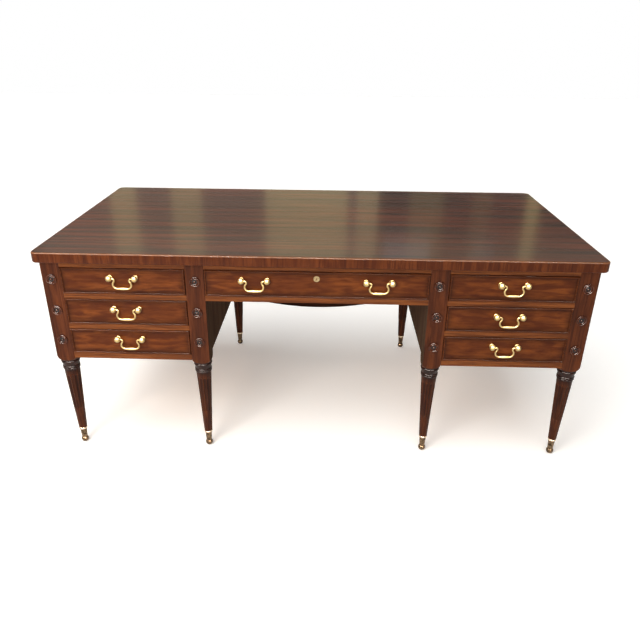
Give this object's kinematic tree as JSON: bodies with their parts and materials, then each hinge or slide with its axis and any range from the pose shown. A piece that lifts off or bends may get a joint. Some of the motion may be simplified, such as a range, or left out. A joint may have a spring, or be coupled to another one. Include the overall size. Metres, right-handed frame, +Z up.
{
  "type": "partners desk",
  "caption": "Mahogany pedestal desk on turned, fluted legs with brass ball feet; beaded drawers with swan-neck brass bails flank a kneehole with a locking centre drawer.",
  "frame": {"origin": "on the floor, under the middle of the desk's box", "axes": "+X along the desk to the sitter's right, -Y towards the sitter at the drawer side, +Z up"},
  "size_m": [1.839, 0.9266, 0.762],
  "materials": {
    "mahogany_top": "polished veneer, straight grain",
    "mahogany_crossband": "polished cross-grain band",
    "mahogany_posts": "polished, dark",
    "mahogany_rails": "polished",
    "mahogany_fronts": "polished veneer",
    "mahogany_beads": "polished",
    "mahogany_panels": "polished veneer",
    "secondary_wood": "planed, waxed",
    "polished_brass": "polished and lacquered",
    "aged_brass": "aged",
    "lock_brass": "dull"
  },
  "bodies": {
    "carcase": {"desk_top": "mahogany_top", "top_edge_band": "mahogany_crossband", "leg_front_outer_left": "mahogany_posts", "leg_front_inner_left": "mahogany_posts", "leg_front_outer_right": "mahogany_posts", "leg_front_inner_right": "mahogany_posts", "leg_back_outer_left": "mahogany_posts", "leg_back_inner_left": "mahogany_posts", "leg_back_outer_right": "mahogany_posts", "leg_back_inner_right": "mahogany_posts", "brass_feet": "aged_brass", "rosettes": "mahogany_posts", "front_rails_left": "mahogany_rails", "front_rails_right": "mahogany_rails", "front_rails_kneehole": "mahogany_rails", "back_rails": "mahogany_rails", "back_panels": "mahogany_fronts", "back_beads": "mahogany_beads", "side_panel_outer_left": "mahogany_panels", "side_panel_outer_right": "mahogany_panels", "side_panel_inner_left": "mahogany_panels", "side_panel_inner_right": "mahogany_panels", "drawer_runners": "secondary_wood", "drawer_guides": "secondary_wood", "kickers": "secondary_wood", "bottom_boards": "secondary_wood", "glue_blocks": "secondary_wood", "kneehole_aprons": "mahogany_rails"},
    "drawer_left_top": {"drawer_front_left_top": "mahogany_fronts", "drawer_box_left_top": "secondary_wood", "pull_posts_left_top": "polished_brass"},
    "drawer_left_middle": {"drawer_front_left_middle": "mahogany_fronts", "drawer_box_left_middle": "secondary_wood", "pull_posts_left_middle": "polished_brass"},
    "drawer_left_bottom": {"drawer_front_left_bottom": "mahogany_fronts", "drawer_box_left_bottom": "secondary_wood", "pull_posts_left_bottom": "polished_brass"},
    "drawer_right_top": {"drawer_front_right_top": "mahogany_fronts", "drawer_box_right_top": "secondary_wood", "pull_posts_right_top": "polished_brass"},
    "drawer_right_middle": {"drawer_front_right_middle": "mahogany_fronts", "drawer_box_right_middle": "secondary_wood", "pull_posts_right_middle": "polished_brass"},
    "drawer_right_bottom": {"drawer_front_right_bottom": "mahogany_fronts", "drawer_box_right_bottom": "secondary_wood", "pull_posts_right_bottom": "polished_brass"},
    "drawer_centre": {"drawer_front_centre": "mahogany_fronts", "drawer_box_centre": "secondary_wood", "pull_posts_centre": "polished_brass", "lock_case": "lock_brass"},
    "bail_left_top": {"bail_left_top": "polished_brass"},
    "bail_left_middle": {"bail_left_middle": "polished_brass"},
    "bail_left_bottom": {"bail_left_bottom": "polished_brass"},
    "bail_right_top": {"bail_right_top": "polished_brass"},
    "bail_right_middle": {"bail_right_middle": "polished_brass"},
    "bail_right_bottom": {"bail_right_bottom": "polished_brass"},
    "bail_centre_left": {"bail_centre_left": "polished_brass"},
    "bail_centre_right": {"bail_centre_right": "polished_brass"},
    "lock_plug": {"lock_plug": "lock_brass"},
    "lock_bolt": {"lock_bolt": "lock_brass"}
  },
  "joints": [
    {"name": "drawer_left_top_slide", "type": "slide", "parent": "carcase", "child": "drawer_left_top", "axis": [0, -1, 0], "range_m": [0, 0.36]},
    {"name": "drawer_left_middle_slide", "type": "slide", "parent": "carcase", "child": "drawer_left_middle", "axis": [0, -1, 0], "range_m": [0, 0.36]},
    {"name": "drawer_left_bottom_slide", "type": "slide", "parent": "carcase", "child": "drawer_left_bottom", "axis": [0, -1, 0], "range_m": [0, 0.36]},
    {"name": "drawer_right_top_slide", "type": "slide", "parent": "carcase", "child": "drawer_right_top", "axis": [0, -1, 0], "range_m": [0, 0.36]},
    {"name": "drawer_right_middle_slide", "type": "slide", "parent": "carcase", "child": "drawer_right_middle", "axis": [0, -1, 0], "range_m": [0, 0.36]},
    {"name": "drawer_right_bottom_slide", "type": "slide", "parent": "carcase", "child": "drawer_right_bottom", "axis": [0, -1, 0], "range_m": [0, 0.36]},
    {"name": "drawer_centre_slide", "type": "slide", "parent": "carcase", "child": "drawer_centre", "axis": [0, -1, 0], "range_m": [0, 0.36]},
    {"name": "bail_left_top_swing", "type": "hinge", "parent": "drawer_left_top", "child": "bail_left_top", "pos_m": [-0.63275, -0.45325, 0.675], "axis": [-1, 0, 0], "range_deg": [-8, 120]},
    {"name": "bail_left_middle_swing", "type": "hinge", "parent": "drawer_left_middle", "child": "bail_left_middle", "pos_m": [-0.63275, -0.45325, 0.5645], "axis": [-1, 0, 0], "range_deg": [-8, 120]},
    {"name": "bail_left_bottom_swing", "type": "hinge", "parent": "drawer_left_bottom", "child": "bail_left_bottom", "pos_m": [-0.63275, -0.45325, 0.454], "axis": [-1, 0, 0], "range_deg": [-8, 120]},
    {"name": "bail_right_top_swing", "type": "hinge", "parent": "drawer_right_top", "child": "bail_right_top", "pos_m": [0.63275, -0.45325, 0.675], "axis": [-1, 0, 0], "range_deg": [-8, 120]},
    {"name": "bail_right_middle_swing", "type": "hinge", "parent": "drawer_right_middle", "child": "bail_right_middle", "pos_m": [0.63275, -0.45325, 0.5645], "axis": [-1, 0, 0], "range_deg": [-8, 120]},
    {"name": "bail_right_bottom_swing", "type": "hinge", "parent": "drawer_right_bottom", "child": "bail_right_bottom", "pos_m": [0.63275, -0.45325, 0.454], "axis": [-1, 0, 0], "range_deg": [-8, 120]},
    {"name": "bail_centre_left_swing", "type": "hinge", "parent": "drawer_centre", "child": "bail_centre_left", "pos_m": [-0.202, -0.45325, 0.675], "axis": [-1, 0, 0], "range_deg": [-8, 120]},
    {"name": "bail_centre_right_swing", "type": "hinge", "parent": "drawer_centre", "child": "bail_centre_right", "pos_m": [0.202, -0.45325, 0.675], "axis": [-1, 0, 0], "range_deg": [-8, 120]},
    {"name": "lock_plug_turn", "type": "hinge", "parent": "drawer_centre", "child": "lock_plug", "pos_m": [0, -0.44075, 0.683], "axis": [0, -1, 0], "range_deg": [0, 90]},
    {"name": "lock_bolt_lift", "type": "slide", "parent": "drawer_centre", "child": "lock_bolt", "axis": [0, 0, 1], "range_m": [0, 0.0072]}
  ],
  "couplings": [
    {"joint": "lock_bolt_lift", "follows": "lock_plug_turn", "m_per_rad": 0.004456}
  ]
}
